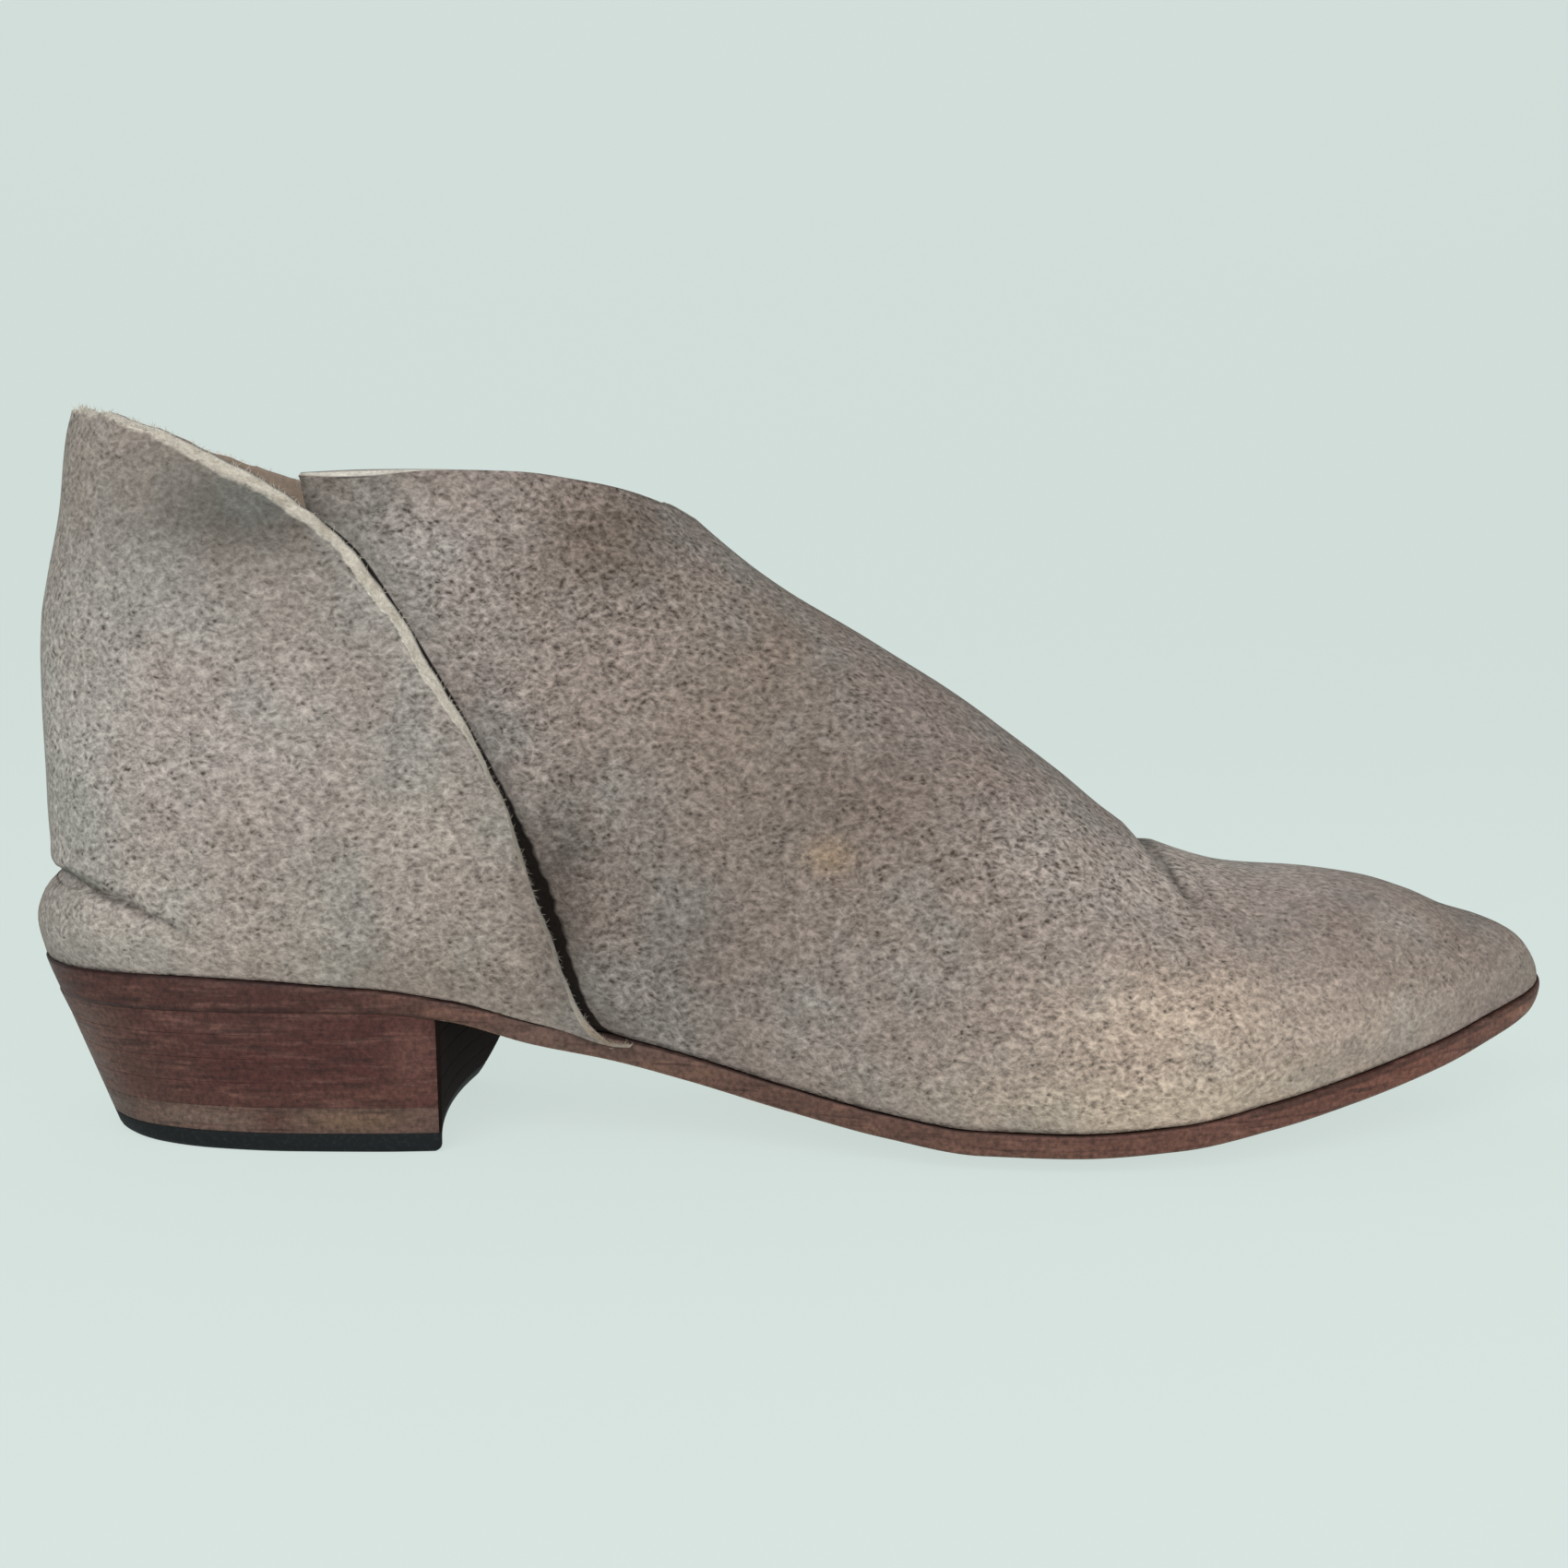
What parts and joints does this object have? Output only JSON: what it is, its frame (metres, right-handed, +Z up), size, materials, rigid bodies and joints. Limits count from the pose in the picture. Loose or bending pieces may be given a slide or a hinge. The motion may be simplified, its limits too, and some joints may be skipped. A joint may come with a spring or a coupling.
{
  "type": "ankle bootie",
  "caption": "Slip-on leather ankle bootie with a pointed toe, a raw-edged heel panel wrapped over the vamp, and a low stacked heel with a rubber walking piece.",
  "frame": {"origin": "on the floor, under the middle of the shoe's box", "axes": "+X towards the toe, +Z up, -Y the outer (little toe) side"},
  "size_m": [0.273, 0.0852, 0.1267],
  "materials": {
    "upper_leather": "distressed nubuck, matte, finely pitted",
    "sock_leather": "smooth lining leather, matte",
    "sole_leather": "dyed and burnished edge, worn, satin",
    "heel_leather": "dyed stacked leather, burnished, satin",
    "worn_heel_leather": "stacked leather with its dye worn off, matte",
    "rubber": "black rubber, matte"
  },
  "bodies": {
    "root": {"vamp": "upper_leather", "heel_panel": "upper_leather", "insole": "sock_leather", "outsole": "sole_leather", "heel_lift_1": "worn_heel_leather", "heel_lift_2": "heel_leather", "heel_lift_3": "heel_leather", "heel_lift_4": "heel_leather", "heel_lift_5": "heel_leather", "heel_top_piece": "rubber"}
  },
  "joints": []
}
